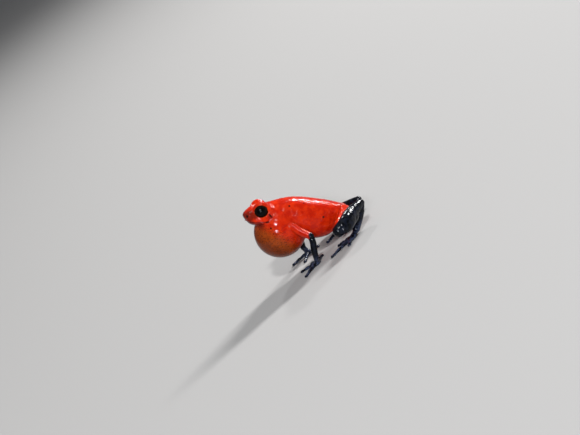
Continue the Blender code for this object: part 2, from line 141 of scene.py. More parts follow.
# Muscles: limb segment, share of its length, shift from its middle line as (X, outwards, Z), half length
# and half thickness.
MUSCLES = (
    ("upper arm", 0.42, (0.06, 0.00, -0.02), 1.7, 0.82),
    ("forearm", 0.34, (-0.06, 0.10, 0.0), 1.5, 0.62),
    ("forearm", 0.50, (0.08, -0.06, 0.0), 1.5, 0.62),
    ("thigh", 0.34, (0.20, 0.10, -0.30), 2.9, 1.38),
    ("thigh", 0.72, (-0.25, 0.00, -0.20), 1.9, 1.30),
    ("shank", 0.36, (0.10, 0.05, -0.40), 2.7, 1.36),
    ("shank", 0.58, (0.15, 0.00, -0.62), 2.5, 1.26),
)

# Headings in degrees, outwards from straight ahead; each digit has its turn from that and its length.
HAND_HEADING = {"left": -40.0, "right": -66.0}
FINGERS = {
    "left": ((-87.0, 3.5), (-38.0, 3.1), (5.0, 4.3), (72.0, 4.4)),
    "right": ((-112.0, 2.7), (-46.0, 3.0), (6.0, 4.2), (70.0, 4.3)),
}
FOOT_HEADING = {"left": 12.0, "right": -21.0}
# Along a digit: shares of its length, heights, sideways bow and half widths, with knuckles at two of them.
DIGIT_SHARES = (0.0, 0.17, 0.33, 0.50, 0.66, 0.83, 1.0)
DIGIT_HEIGHTS = (0.42, 0.42, 0.46, 0.37, 0.37, 0.28, 0.24)
DIGIT_BOWS = (0.0, 0.02, 0.05, 0.05, 0.04, 0.02, 0.0)
DIGIT_RADII = (0.42, 0.37, 0.36, 0.30, 0.33, 0.27, 0.25)
DISC_RADII = (0.43, 0.46, 0.26)
DISC_HEIGHT = 0.20
DISC_ROOM = 0.60  # the last part of a digit, which its shaft leaves to the disc
TOES = ((-100.0, 1.8, 0.9), (-78.0, 2.7, 0.6), (-54.0, 3.8, 0.2), (0.0, 5.6, 0.0), (45.0, 2.9, 0.3))

# The photo's picture directions on the floor frame: right, up and towards the camera.
CAMERA_TURN, CAMERA_HEIGHT, CAMERA_ROLL = (math.radians(a) for a in (4.5, 14.0, 37.0))


def body(ahead, above, side=0.0):
    """A place given in the body's own frame."""
    return VENT + AHEAD * ahead + ABOVE * above + ACROSS * side


def paired(place, sign):
    """A place in the body's own frame, on the side with that sign."""
    ahead, above, side = place
    return body(ahead, above, side * sign)


def mirrored(places, sign):
    """Places whose Y counts outwards from the middle, on the side with that sign."""
    return [np.array((x, y * sign, z)) for x, y, z in places]


# The left eye's node shows where the animal's frame lies in the shared one.
eye_low, eye_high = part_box("eye_left")
ORIGIN = np.array((eye_low + eye_high) / 2) - paired(EYE_CENTRE, SIDES["left"]) * MM


# Curves and lofted forms


def spline(values, shares):
    """Values at shares of the way, from 0 to 1, on a smooth curve through evenly spaced ones."""
    values = np.asarray(values, float)
    last = len(values) - 1
    padded = np.concatenate(([values[0] * 2 - values[1]], values, [values[-1] * 2 - values[-2]]))
    at = np.clip(np.asarray(shares, float) * last, 0, last - 1e-9)
    i = at.astype(int)
    f = (at - i).reshape((-1,) + (1,) * (values.ndim - 1))
    a, b, c, d = (padded[i + k] for k in range(4))
    return (b * 2 + (c - a) * f + (a * 2 - b * 5 + c * 4 - d) * f**2 + (b * 3 - a - c * 3 + d) * f**3) / 2


def unit(vectors):
    return vectors / np.linalg.norm(vectors, axis=-1, keepdims=True)


def loft(rings, first, last):
    """Vertices and faces of a closed form through rings of points, drawn to a point at each end."""
    count, sides = rings.shape[:2]
    vertices = np.concatenate((rings.reshape(-1, 3), [first, last]))
    faces = []
    for k in range(sides):
        n = (k + 1) % sides
        faces.append((count * sides, n, k))
        faces.append((count * sides + 1, (count - 1) * sides + k, (count - 1) * sides + n))
        for i in range(0, (count - 1) * sides, sides):
            faces.append((i + k, i + n, i + sides + n, i + sides + k))
    return vertices, faces


def trunk_stations(count):
    """Ahead, top, bottom, half width, height of the widest line and boxiness, evenly along the trunk."""
    ahead, top, bottom, half, share, boxiness = spline(TRUNK, np.linspace(0, 1, count)).T
    return ahead, top, bottom, half, bottom + (top - bottom) * share, boxiness


def trunk(count=150, sides=80):
    turn = np.linspace(0, 2 * math.pi, sides, endpoint=False)
    rings = []
    for ahead, top, bottom, half, widest, boxiness in zip(*trunk_stations(count)):
        side = half * np.sign(np.cos(turn)) * np.abs(np.cos(turn)) ** (2 / boxiness)
        reach = np.where(np.sin(turn) > 0, top - widest, widest - bottom)
        above = widest + reach * np.sign(np.sin(turn)) * np.abs(np.sin(turn)) ** (2 / boxiness)
        rings.append([body(ahead, b, s) for b, s in zip(above, side)])
    return loft(np.array(rings), body(*TRUNK_ENDS[0]), body(*TRUNK_ENDS[1]))


def trunk_side(ahead, above):
    """How far the trunk reaches from the middle at a place seen from the side."""
    stations = trunk_stations(400)
    top, bottom, half, widest, boxiness = (np.interp(ahead, stations[0], row) for row in stations[1:])
    share = (above - widest) / (top - widest if above > widest else bottom - widest)
    return half * max(0.0, 1 - share**boxiness) ** (1 / boxiness)


def sac_side(ahead, above):
    """How far the sac reaches from the middle there."""
    along, up = (ahead - SAC_CENTRE[0]) / SAC_RADII[0], (above - SAC_CENTRE[1]) / SAC_RADII[1]
    return SAC_RADII[2] * math.sqrt(max(0.0, 1 - along**2 - up**2))


def trunk_front(above):
    """How far ahead the underside of the snout reaches at a height."""
    stations = [row[250:] for row in trunk_stations(400)]
    return np.interp(above, stations[2], stations[0])


def tube(places, radii, sides=28, rings=40, flatness=1.0, level=False):
    """A limb with round ends. Flatness is its height by its width, and level keeps that height upright."""
    shares = np.linspace(0, 1, rings)
    centres = spline(places, shares)
    sizes = spline(radii, shares)
    tangents = unit(np.gradient(centres, axis=0))

    def cap(end, outwards, angles):
        """Rings of a round end, each with its centre, its tangent and its size."""
        reach = tangents[end] * sizes[end] * outwards
        return [(centres[end] + reach * math.cos(a), tangents[end], sizes[end] * math.sin(a)) for a in angles]

    angles = np.linspace(0, math.pi / 2, 7)[1:-1]
    stations = cap(0, -1, angles) + list(zip(centres, tangents, sizes)) + cap(-1, 1, angles[::-1])
    turn = np.linspace(0, 2 * math.pi, sides, endpoint=False)[:, None]
    across = np.array((0.3, 0.9, 0.1))
    points = []
    for centre, tangent, size in stations:
        across = np.cross((0, 0, 1), tangent) if level else across - tangent * (across @ tangent)
        across = unit(across)
        rise = np.cross(tangent, across)
        points.append(centre + (across * np.cos(turn) + rise * flatness * np.sin(turn)) * size)
    return loft(np.array(points), centres[0] - tangents[0] * sizes[0], centres[-1] + tangents[-1] * sizes[-1])


def ball(centre, radii, axes=None, sides=48, rings=30):
    """An ellipsoid. Axes are its three directions, as rows."""
    axes = np.eye(3) if axes is None else np.array(axes)
    turn = np.linspace(0, 2 * math.pi, sides, endpoint=False)
    points = []
    for a in np.linspace(0, math.pi, rings + 2)[1:-1]:
        width = math.sin(a)
        ring = np.stack((np.cos(turn) * width, np.sin(turn) * width, np.full(sides, -math.cos(a))), axis=1)
        points.append(centre + (ring * radii) @ axes)
    pole = axes[2] * radii[2]
    return loft(np.array(points), centre - pole, centre + pole)


def eye_axes(sign):
    """The eye's centre, its gaze, and the directions along and across its opening."""
    centre = paired(EYE_CENTRE, sign)
    ahead, above, side = EYE_GAZE
    gaze = unit(AHEAD * ahead + ABOVE * above + ACROSS * side * sign)
    along = unit(AHEAD - gaze * (AHEAD @ gaze))
    return centre, gaze, along, unit(ABOVE - gaze * (ABOVE @ gaze) - along * (ABOVE @ along))


def lids(sign, steps=96):
    """Brow and lids in one form round the eye: it hugs the eyeball and ends in a rounded rim."""
    centre, gaze, along, across = eye_axes(sign)
    brow = paired(BROW_CENTRE, sign)
    axes = np.array((AHEAD, ABOVE, ACROSS))
    offset = axes @ (centre - brow) / BROW_RADII

    def reach(direction):
        """How far the brow's ellipsoid lies from the eye's centre in a direction."""
        ray = axes @ direction / BROW_RADII
        half_b, c = ray @ offset, offset @ offset - 1
        return (math.sqrt(half_b**2 - (ray @ ray) * c) - half_b) / (ray @ ray)

    rings = []
    for turn in np.linspace(0, 2 * math.pi, steps, endpoint=False):
        flat = along * math.cos(turn) + across * math.sin(turn)
        opening = 1 / math.hypot(math.cos(turn) / EYE_OPENING[0], math.sin(turn) / EYE_OPENING[1])
        rim = math.asin(opening / EYE_RADIUS)
        ring = []
        for angle in np.linspace(rim + 0.04, LID_BACK, 14):
            direction = gaze * math.cos(angle) + flat * math.sin(angle)
            swell = 1 - math.exp(-(angle - rim) / LID_SWELL)
            outside = max(reach(direction), EYE_RADIUS + LID_THICKNESS)
            ring.append(direction * (EYE_RADIUS + (outside - EYE_RADIUS) * swell))
        for angle in np.linspace(LID_BACK, rim, 8):
            direction = gaze * math.cos(angle) + flat * math.sin(angle)
            ring.append(direction * (EYE_RADIUS - LID_INSIDE))
        rings.append(centre + np.array(ring))
    rings = np.array(rings)
    count = rings.shape[1]
    faces = []
    for i in range(steps):
        j = (i + 1) % steps
        for k in range(count):
            n = (k + 1) % count
            faces.append((i * count + k, i * count + n, j * count + n, j * count + k))
    if sign < 0:
        faces = [face[::-1] for face in faces]
    return rings.reshape(-1, 3), faces


def muscle(places, radii, sign, share, shift, half_length, thickness):
    """An ellipsoid that lies along a limb segment."""
    centre, ahead = spline(places, (share, share + 0.01))
    along = unit(ahead - centre)
    across = unit(np.cross(along, (0.2, 0.3, 1.0)))
    centre = centre + np.array(shift) * (1, sign, 1)
    return ball(centre, (thickness, thickness, half_length), (across, np.cross(along, across), along))


def digit(start, heading, length, sign):
    """A finger or toe with soft joints, which ends in its flat round disc."""
    ahead = np.array((-math.cos(heading), math.sin(heading) * sign, 0.0))
    across = np.cross((0, 0, 1), ahead)
    free = length - DISC_ROOM
    places = []
    for share, height, bow in zip(DIGIT_SHARES, DIGIT_HEIGHTS, DIGIT_BOWS):
        place = start + ahead * free * share + across * bow * sign
        places.append((place[0], place[1], height))
    shaft = tube(places, DIGIT_RADII, sides=22, rings=48, flatness=0.92, level=True)
    tip = start + ahead * (length - DISC_RADII[0])
    middle = np.array((tip[0], tip[1], DISC_HEIGHT))
    disc = ball(middle, DISC_RADII, (ahead, across, (0, 0, 1)), sides=32, rings=20)
    return [shaft, disc]


def hand(side):
    sign = SIDES[side]
    wrist, palm = mirrored((FOREARM[-1], PALM[side]), sign)
    bend = np.array((*((wrist + palm) / 2)[:2], wrist[2] * 0.55))
    heading = math.radians(HAND_HEADING[side])
    ahead = np.array((-math.cos(heading), math.sin(heading) * sign, 0.0))
    forms = [tube((wrist, bend, palm), WRIST_RADII)]
    forms.append(ball(palm, PALM_RADII, (ahead, np.cross((0, 0, 1), ahead), (0, 0, 1))))
    for turn_out, length in FINGERS[side]:
        forms += digit(palm, heading + math.radians(turn_out), length, sign)
    return forms


def foot(side):
    sign = SIDES[side]
    places = mirrored(INSTEP[side], sign)
    forms = [tube(places, INSTEP_RADII, flatness=INSTEP_FLATNESS, level=True)]
    heading = math.radians(FOOT_HEADING[side])
    backwards = unit(places[0] - places[-1])
    for turn_out, length, start in TOES:
        forms += digit(places[-1] + backwards * start, heading + math.radians(turn_out), length, sign)
    return forms


def limb_segments(side):
    """Each limb segment's name, places and radii."""
    return (
        ("upper arm", UPPER_ARM, UPPER_ARM_RADII),
        ("forearm", FOREARM, FOREARM_RADII),
        ("thigh", THIGH[side], THIGH_RADII),
        ("shank", SHANK[side], SHANK_RADII),
        ("tarsus", TARSUS[side], TARSUS_RADII),
    )


def skin_forms():
    """Everything that the skin is welded from."""
    axes = (AHEAD, ABOVE, ACROSS)
    forms = [
        trunk(),
        ball(body(*SAC_CENTRE), SAC_RADII, axes, sides=90, rings=60),
        ball(body(*THROAT[0]), THROAT[1], axes, sides=64, rings=40),
    ]
    for side, sign in SIDES.items():
        forms.append(lids(sign))
        for centre, radii in (TEMPLE, RUMP):
            forms.append(ball(paired(centre, sign), radii, axes))
        for name, places, radii in limb_segments(side):
            places = mirrored(places, sign)
            forms.append(tube(places, radii))
            forms += [muscle(places, radii, sign, *shape) for owner, *shape in MUSCLES if owner == name]
        forms += hand(side) + foot(side)
    return forms


# The skin's surface


class Surface:
    """Vertices in millimetres with the edges that join them, for smoothing and shaping."""

    def __init__(self, mesh):
        self.mesh = mesh
        count = len(mesh.vertices)
        self.points = np.empty(count * 3)
        mesh.vertices.foreach_get("co", self.points)
        self.points = self.points.reshape(-1, 3)
        edges = np.empty(len(mesh.edges) * 2, dtype=np.int64)
        mesh.edges.foreach_get("vertices", edges)
        edges = edges.reshape(-1, 2)
        self.ends = np.concatenate((edges[:, 0], edges[:, 1]))
        self.others = np.concatenate((edges[:, 1], edges[:, 0]))
        self.degree = np.maximum(np.bincount(self.ends, minlength=count), 1)

    def average(self, values):
        """Each vertex's mean of its neighbours' values."""
        count = len(self.points)
        if values.ndim == 1:
            return np.bincount(self.ends, values[self.others], count) / self.degree
        return np.stack([self.average(column) for column in values.T], axis=1)

    def normals(self):
        self.write()
        normals = np.empty(len(self.points) * 3)
        self.mesh.vertices.foreach_get("normal", normals)
        return normals.reshape(-1, 3)

    def write(self):
        self.mesh.vertices.foreach_set("co", self.points.ravel())
        self.mesh.update()

    def smooth(self, rounds, weight=1.0):
        """Evens the surface out without shrinking it."""
        for _ in range(rounds):
            for share in (0.5, -0.53):
                self.points += (self.average(self.points) - self.points) * share * weight

    def fill(self, rounds, weight):
        """Fills hollows where flesh meets flesh, by the weight, and leaves rounded forms alone."""
        chosen = np.flatnonzero(weight > 0.01)
        number = np.full(len(self.points), -1)
        number[chosen] = np.arange(len(chosen))
        inside = number[self.ends] >= 0
        ends, others = number[self.ends[inside]], self.others[inside]
        degree, weight = self.degree[chosen], weight[chosen, None]
        for i in range(rounds):
            if i % 6 == 0:
                normals = self.normals()[chosen]
            sums = [np.bincount(ends, column[others], len(chosen)) for column in self.points.T]
            pull = np.stack(sums, axis=1) / degree[:, None] - self.points[chosen]
            outwards = (pull * normals).sum(axis=1, keepdims=True)
            sideways = pull - normals * outwards
            self.points[chosen] += (normals * np.maximum(outwards, 0) * 0.6 + sideways * 0.3) * weight


def near(points, centre, radius):
    """1 at a centre, falling smoothly to 0 at a radius."""
    share = np.clip(1 - np.linalg.norm(points - centre, axis=1) / radius, 0, 1)
    return share * share * (3 - 2 * share)


def step(low, high, values):
    """0 up to low, 1 from high on, and smooth between them."""
    share = np.clip((values - low) / (high - low), 0, 1)
    return share * share * (3 - 2 * share)


def distance_to(points, places, reach):
    """Distance from each point to a smooth path through places, exact only within a reach of it."""
    path = spline(places, np.linspace(0, 1, 160))
    distance = np.full(len(points), 1e3)
    low, high = path.min(axis=0) - reach, path.max(axis=0) + reach
    close = np.flatnonzero(((points > low) & (points < high)).all(axis=1))
    best = distance[close]
    for place in path:
        best = np.minimum(best, ((points[close] - place) ** 2).sum(axis=1))
    distance[close] = np.sqrt(best)
    return distance


def remeshed(forms):
    """All the forms as one closed surface."""
    vertices, faces, start = [], [], 0
    for form_vertices, form_faces in forms:
        vertices.append(form_vertices)
        faces += [tuple(start + i for i in face) for face in form_faces]
        start += len(form_vertices)
    mesh = bpy.data.meshes.new("skin")
    mesh.from_pydata(np.concatenate(vertices).tolist(), [], faces)
    obj = bpy.data.objects.new("skin", mesh)
    bpy.context.scene.collection.objects.link(obj)
    modifier = obj.modifiers.new("Weld forms", "REMESH")
    modifier.mode = "VOXEL"
    modifier.voxel_size = VOXEL
    modifier.adaptivity = 0
    bpy.context.view_layer.update()
    obj.data = bpy.data.meshes.new_from_object(obj.evaluated_get(bpy.context.evaluated_depsgraph_get()))
    obj.modifiers.clear()
    return obj


# Where flesh runs softly into flesh: place in the body's frame, radius and strength.
SOFT_PLACES = (
    ((14.9, -3.2, 3.5), 2.6, 1.0),
    ((12.6, -2.6, 3.7), 2.2, 0.8),
    ((9.8, -5.8, 2.4), 2.6, 0.5),
    ((16.0, 0.1, 2.0), 2.4, 1.0),
    ((17.6, 0.6, 1.0), 1.6, 0.8),
    ((19.6, -0.9, 1.5), 1.4, 0.8),
    ((17.2, -2.0, 2.7), 1.5, 0.5),
    ((2.2, -1.4, 2.0), 2.6, 1.0),
    ((4.5, -3.6, 3.0), 2.0, 0.3),
)
# The same for the places where limb segments start, and for palms and insteps: radius and strength.
SOFT_JOINTS = {
    "upper arm": (2.2, 0.8),
    "forearm": (1.5, 0.6),
    "thigh": (2.6, 1.0),
    "shank": (1.8, 0.25),
    "tarsus": (1.3, 0.35),
}
SOFT_PALM = (1.8, 0.5)
FILL_ROUNDS = 170


def fillet_weights(points):
    """How strongly hollows are filled, which they aren't on the eyeballs."""
    weight = np.zeros(len(points))
    for side, sign in SIDES.items():
        spots = [(paired(place, sign), radius, strength) for place, radius, strength in SOFT_PLACES]
        for name, places, radii in limb_segments(side):
            spots.append((mirrored(places, sign)[0], *SOFT_JOINTS[name]))
        palms = mirrored((PALM[side], INSTEP[side][-1], INSTEP[side][0]), sign)
        spots += [(place, *SOFT_PALM) for place in palms]
        for centre, radius, strength in spots:
            weight = np.maximum(weight, np.minimum(near(points, centre, radius) * 2, 1) * strength)
    for sign in SIDES.values():
        from_eye = np.linalg.norm(points - eye_axes(sign)[0], axis=1) - EYE_RADIUS
        weight *= step(0.05, 0.20, from_eye)
    return weight


def eye_size(points, sign):
    """How far places lie from an eye's gaze, as a share of the lids' opening, and their depth along it."""
    centre, gaze, along, across = eye_axes(sign)
    local = points - centre
    return np.hypot(local @ along / EYE_OPENING[0], local @ across / EYE_OPENING[1]), local @ gaze


def open_eyes(points):
    """Lowers the skin to thin lids round each eyeball, and to below it inside their opening."""
    for sign in SIDES.values():
        centre, gaze = eye_axes(sign)[:2]
        size, depth = eye_size(points, sign)
        limit = EYE_RADIUS - EYE_COVERED + (EYE_COVERED + LID_THICKNESS) * step(*LID_EDGE, size)
        limit += LID_SLOPE * np.maximum(size - 1, 0)
        from_gaze = ((points - centre) ** 2).sum(axis=1) - depth**2
        highest = np.sqrt(np.maximum(limit**2 - from_gaze, 0))
        high = (depth > highest) & (size < LIDS_REACH)
        points[high] += gaze * (highest - depth)[high, None]


def rim_share(points, size=1.0, width=0.05):
    """How much a place belongs to the lids' rims, of a size given as a share of the opening."""
    share = np.zeros(len(points))
    for sign in SIDES.values():
        at, depth = eye_size(points, sign)
        share = np.maximum(share, np.exp(-((at - size) / width) ** 2) * step(0, 0.3, depth))
    return share


def on_side(places, sign):
    """Places on the trunk's side, from those seen from the side."""
    return [body(ahead, above, trunk_side(ahead, above) * sign) for ahead, above in places]


# Distances to the main forms


def capsule(points, places, radii, low=0.0, high=1.0):
    """Distance to a limb segment's surface, between two shares of its length."""
    shares = np.linspace(low, high, 40)
    best = np.full(len(points), 1e9)
    for centre, radius in zip(spline(places, shares), spline(radii, shares)):
        best = np.minimum(best, np.linalg.norm(points - centre, axis=1) - radius)
    return best


def body_coordinates(points):
    local = points - VENT
    return local @ AHEAD, local @ ABOVE, local[:, 1]


def trunk_distance(points):
    """Roughly the distance to the trunk's surface."""
    ahead, above, side = body_coordinates(points)
    stations = trunk_stations(400)
    top, bottom, half, widest, boxiness = (np.interp(ahead, stations[0], row) for row in stations[1:])
    reach = np.where(above > widest, top - widest, widest - bottom)
    size = (np.abs(side / half) ** boxiness + np.abs((above - widest) / reach) ** boxiness) ** (1 / boxiness)
    beyond = np.maximum(0, stations[0][0] - ahead)
    return (size - 1) * np.minimum(half, reach) + beyond


def sac_distance(points):
    ahead, above, side = body_coordinates(points)
    local = np.stack((ahead - SAC_CENTRE[0], above - SAC_CENTRE[1], side), axis=1)
    return (np.linalg.norm(local / SAC_RADII, axis=1) - 1) * min(SAC_RADII)


# Lines on the head, each as places (ahead, above) on its side.
MOUTH = ((16.75, -2.72), (17.7, -2.88), (18.6, -2.97), (19.4, -3.01), (20.0, -3.02), (20.35, -3.02))
LIP_RISE = 0.23
UPPER_LIP = tuple((ahead, above + LIP_RISE) for ahead, above in MOUTH)
CANTHUS = ((19.3, -0.30), (19.8, -0.72), (20.3, -1.10), (20.75, -1.55))
EAR_FOLD = ((16.9, -0.45), (16.3, -0.60), (15.6, -1.05), (15.2, -1.75), (15.1, -2.5))
EAR_SLASH = ((16.42, -1.22), (16.10, -1.58), (15.82, -1.88))
MOUTH_CORNER = ((17.00, -2.80), (16.72, -2.76), (16.45, -2.70))
JAW_FOLD = ((16.6, -2.85), (16.0, -3.1), (15.3, -3.6), (14.9, -4.3))

# The lines with their height (below 0 their depth), half width and darkness: painted shade in the mouth's
# groove and the jaw's fold, a dark slash on the eardrum and a dark mark at the mouth's corner. Mouth and lip
# go on round the snout's front.
FRONT_LINES = ((MOUTH, -0.17, 0.085, 1.0), (UPPER_LIP, 0.07, 0.19, 0.0))
SIDE_LINES = (
    (CANTHUS, 0.13, 0.30, 0.0),
    (EAR_FOLD, 0.07, 0.22, 0.0),
    (EAR_SLASH, -0.06, 0.15, 1.2),
    (MOUTH_CORNER, -0.04, 0.19, 1.1),
    (JAW_FOLD, -0.05, 0.15, 0.4),
)
SHOULDER_FOLD = (
    (14.25, -4.15, 4.6),
    (13.75, -3.60, 4.55),
    (13.25, -3.20, 4.4),
    (12.6, -2.75, 4.2),
    (12.0, -2.6, 3.9),
)
# height, half width and the painted shade in the shoulder's fold
SHOULDER_LINE = (-0.08, 0.24, 0.38)

# Eardrum, the hollow between eye and snout, and nostril: places on the head's side with their sizes.
EAR = (16.15, -1.55)
EAR_RADIUS = 0.62
EAR_RIM = (0.16, 0.035)  # half width as a share of the radius, and height
EAR_DEPTH = 0.05
LOREAL = (19.75, -1.55)
LOREAL_RADIUS = 1.15
LOREAL_DEPTH = 0.17
NOSTRIL = (20.64, -1.88)
NOSTRIL_RIM = (0.36, 0.17, 0.03)  # radius, half width and height
NOSTRIL_PIT = (0.22, 0.34)  # radius and depth
# radius of the painted shade in the nostril
NOSTRIL_SHADE = 0.31  # radius of its dark

# Where a limb leaves the trunk
CREASE_WIDTH = 0.17
CREASE_DEPTH = 0.07
# painted shade in the crease, strongest under the arm in the armpit
CREASE_SHADE = 0.5
CREASE_REACH = (1.1, 0.5)  # distances from the limb over which the crease sets in
ARMPIT = (-4.4, -5.2)  # and heights over which the arm's does
ARM_CREASE_ABOVE = 0.12  # how much of the arm's crease is left above its armpit

# Small dark spots on each side, as (ahead, above, radius)
SPOTS = {
    "left": ((12.36, 0.42, 0.20), (5.61, -1.62, 0.24), (16.2, -3.90, 0.21), (9.4, 1.0, 0.15)),
    "right": ((13.2, 0.10, 0.18), (7.1, -0.9, 0.23), (10.3, -3.1, 0.17), (4.6, 0.4, 0.17)),
}
SPOT_STRETCH = (1, 0.35, 1)  # a spot reaches through the skin, which lies a little outside the main forms
SPOT_DARKNESS = 0.95


def shaping(points):
    """How far each place of the skin stands out along its normal, and its share of painted shade in folds and
    of dark marks and spots.
    """
    out = np.zeros(len(points))
    painted_shade_and_marks = np.zeros(len(points))
    heights = body_coordinates(points)[1]

    def line(places, height, width, darkness):
        share = np.exp(-(distance_to(points, places, width * 4) / width) ** 2)
        out[:] += share * height
        painted_shade_and_marks[:] = np.maximum(painted_shade_and_marks, np.minimum(share * darkness, 1))

    for side, sign in SIDES.items():
        for places, *drawn in FRONT_LINES:
            end = places[-1][1]
            line([*on_side(places, sign), body(trunk_front(end), end)], *drawn)
        for places, *drawn in SIDE_LINES:
            line(on_side(places, sign), *drawn)
        line([paired(place, sign) for place in SHOULDER_FOLD], *SHOULDER_LINE)

        trunk_near = np.minimum(trunk_distance(points), sac_distance(points))
        for name, places, radii in limb_segments(side):
            if name in ("upper arm", "thigh"):
                limb_near = capsule(points, mirrored(places, sign), radii)
                crease = np.exp(-((trunk_near - limb_near) / CREASE_WIDTH) ** 2)
                crease *= step(*CREASE_REACH, limb_near)
                if name == "upper arm":
                    crease *= ARM_CREASE_ABOVE + (1 - ARM_CREASE_ABOVE) * step(*ARMPIT, heights)
                out -= crease * CREASE_DEPTH
                # painted shade in the crease
                painted_shade_and_marks = np.maximum(painted_shade_and_marks, crease * CREASE_SHADE)

        ear, loreal, nostril = on_side((EAR, LOREAL, NOSTRIL), sign)
        from_ear = np.linalg.norm(points - ear, axis=1) / EAR_RADIUS
        width, height = EAR_RIM
        out += np.exp(-((from_ear - 1) / width) ** 2) * height - step(1, 0.6, from_ear) * EAR_DEPTH
        out -= near(points, loreal, LOREAL_RADIUS) * LOREAL_DEPTH
        from_nostril = np.linalg.norm(points - nostril, axis=1)
        radius, width, height = NOSTRIL_RIM
        rim = np.exp(-((from_nostril - radius) / width) ** 2) * height
        radius, depth = NOSTRIL_PIT
        out += rim - np.exp(-(from_nostril / radius) ** 2) * depth
        # painted shade in the nostril
        painted_shade_and_marks = np.maximum(painted_shade_and_marks, np.exp(-(from_nostril / NOSTRIL_SHADE) ** 4))

        for ahead, above, radius in SPOTS[side]:
            spot = body(ahead, above, max(trunk_side(ahead, above), sac_side(ahead, above)) * sign)
            from_spot = np.linalg.norm((points - spot) * SPOT_STRETCH, axis=1) / radius
            painted_shade_and_marks = np.maximum(painted_shade_and_marks, step(1.4, 0.6, from_spot) * SPOT_DARKNESS)
    return out, painted_shade_and_marks


skin = remeshed(skin_forms())
surface = Surface(skin.data)
open_eyes(surface.points)
surface.smooth(3)
surface.fill(FILL_ROUNDS, fillet_weights(surface.points))
surface.smooth(4)
surface.smooth(12, rim_share(surface.points, 1.0, 0.14)[:, None])  # more, for even rims
out, painted_shade_and_marks = shaping(surface.points)
surface.points += surface.normals() * out[:, None]

# Masks for the colours

RED_ARM = 0.90  # share of the upper arm that is red
RED_THIGH = 1.0  # share of the thigh's front that is red
RED_THIGH_BEHIND = 0.30
THIGH_FRONT = (-0.6, 0.2, 0.75)  # the direction in which the thigh's front faces


def sac_share(points):
    """How much a place belongs to the sac's brown front and underside; its fullest part also takes painted
    shade.
    """
    ahead, above = body_coordinates(points)[:2]
    along, down = (ahead - SAC_CENTRE[0]) / SAC_RADII[0], (SAC_CENTRE[1] - above) / SAC_RADII[1]
    return step(-0.55, 0.75, along * 0.45 + down * 0.89) * step(0.5, -0.1, sac_distance(points))


# Painted shade on the snout's side under the canthus, round the eardrum and under the chin: place in the
# body's frame, radius and strength.
HEAD_SHADE_PLACES = (
    ((20.3, -1.75, 1.8), 2.1, 1.0),
    ((21.0, -2.10, 0.6), 1.6, 1.0),
    ((19.4, -1.50, 2.7), 1.3, 1.0),
    ((16.2, -1.70, 3.1), 0.9, 0.5),
    ((19.8, -3.30, 1.4), 2.1, 1.0),
    ((18.2, -3.45, 2.4), 1.6, 0.8),
)


# How much painted shade each place of the head gets
def head_shade_share(points):
    share = np.zeros(len(points))
    for sign in SIDES.values():
        for place, radius, strength in HEAD_SHADE_PLACES:
            share = np.maximum(share, near(points, paired(place, sign), radius) * strength)
    return share


def masks(points):
    """The skin's masks: shares, but for dark, which is how many millimetres inside the dark a place lies."""
    red = np.minimum(trunk_distance(points), sac_distance(points))
    dark = np.full(len(points), 1e9)
    for side, sign in SIDES.items():
        for name, places, radii in limb_segments(side):
            places = mirrored(places, sign)
            if name == "upper arm":
                red = np.minimum(red, capsule(points, places, radii, 0, RED_ARM))
            elif name == "thigh":
                front = mirrored([THIGH_FRONT], sign)[0]
                middle = spline(places, (0.5,))[0]
                facing = step(-0.7, 0.7, (points - middle) @ front)
                along = places[-1] - places[0]
                share = (points - places[0]) @ along / (along**2).sum()
                limit = RED_THIGH_BEHIND + (RED_THIGH - RED_THIGH_BEHIND) * facing
                thigh = capsule(points, places, radii)
                red = np.minimum(red, thigh + np.maximum(share - limit, 0) * 9)
                dark = np.minimum(dark, thigh + np.maximum(limit - share, 0) * 9)
            else:
                dark = np.minimum(dark, capsule(points, places, radii))
        for place in (PALM[side], INSTEP[side][-1]):
            dark = np.minimum(dark, np.linalg.norm(points - mirrored([place], sign)[0], axis=1) - 0.8)
    low = step(2.2, 1.2, points[:, 2])
    return {
        "dark": np.clip(red - dark + low * 3, -3, 3),
        "sac": sac_share(points),
        "head_shade": head_shade_share(points),
        "rim": rim_share(points, 1.06),
        "digits": low,
        "painted_shade_and_marks": painted_shade_and_marks,
    }


shares = masks(surface.points)
for name, values in shares.items():
    attribute = skin.data.attributes.new(name, "FLOAT", "POINT")
    attribute.data.foreach_set("value", values.astype(np.float32))

# Grain that stands in the surface itself: waves and rounded granules, which fade on the stretched sac
WAVES = ((1.5, 0.032), (3.2, 0.008))  # waves per millimetre and height
GRANULES = (2.3, 0.062)  # granules per millimetre and height


def add_grain(surface, shares):
    """Moves the surface by its grain, which is strongest on the back."""
    above = body_coordinates(surface.points)[1]
    backs = 0.45 + 0.55 * step(-3.0, -0.6, above)
    stretched = 1 - 0.85 * step(0.5, -0.1, sac_distance(surface.points))
    limbs = 1 - step(-1, 1, shares["dark"]) * 0.4
    waviness = np.minimum(stretched, backs) * limbs * (1 - shares["digits"] * 0.6)
    roundness = stretched * backs * (1 - shares["digits"] * 0.7)
    normals = surface.normals()
    for scale, height in WAVES:
        wave = np.array([noise.noise(Vector(point) * scale) for point in surface.points])
        surface.points += normals * (wave * height * waviness)[:, None]
    scale, height = GRANULES
    dome = np.array([0.45 - noise.voronoi(Vector(point) * scale)[0][0] for point in surface.points])
    surface.points += normals * (dome * height * roundness)[:, None]


FLOOR_GAP = 0.02  # keeps the skin just off the floor

add_grain(surface, shares)
surface.points[:, 2] = np.maximum(surface.points[:, 2], FLOOR_GAP)
surface.points = surface.points * MM + ORIGIN
surface.write()
skin.data.shade_smooth()


# Materials


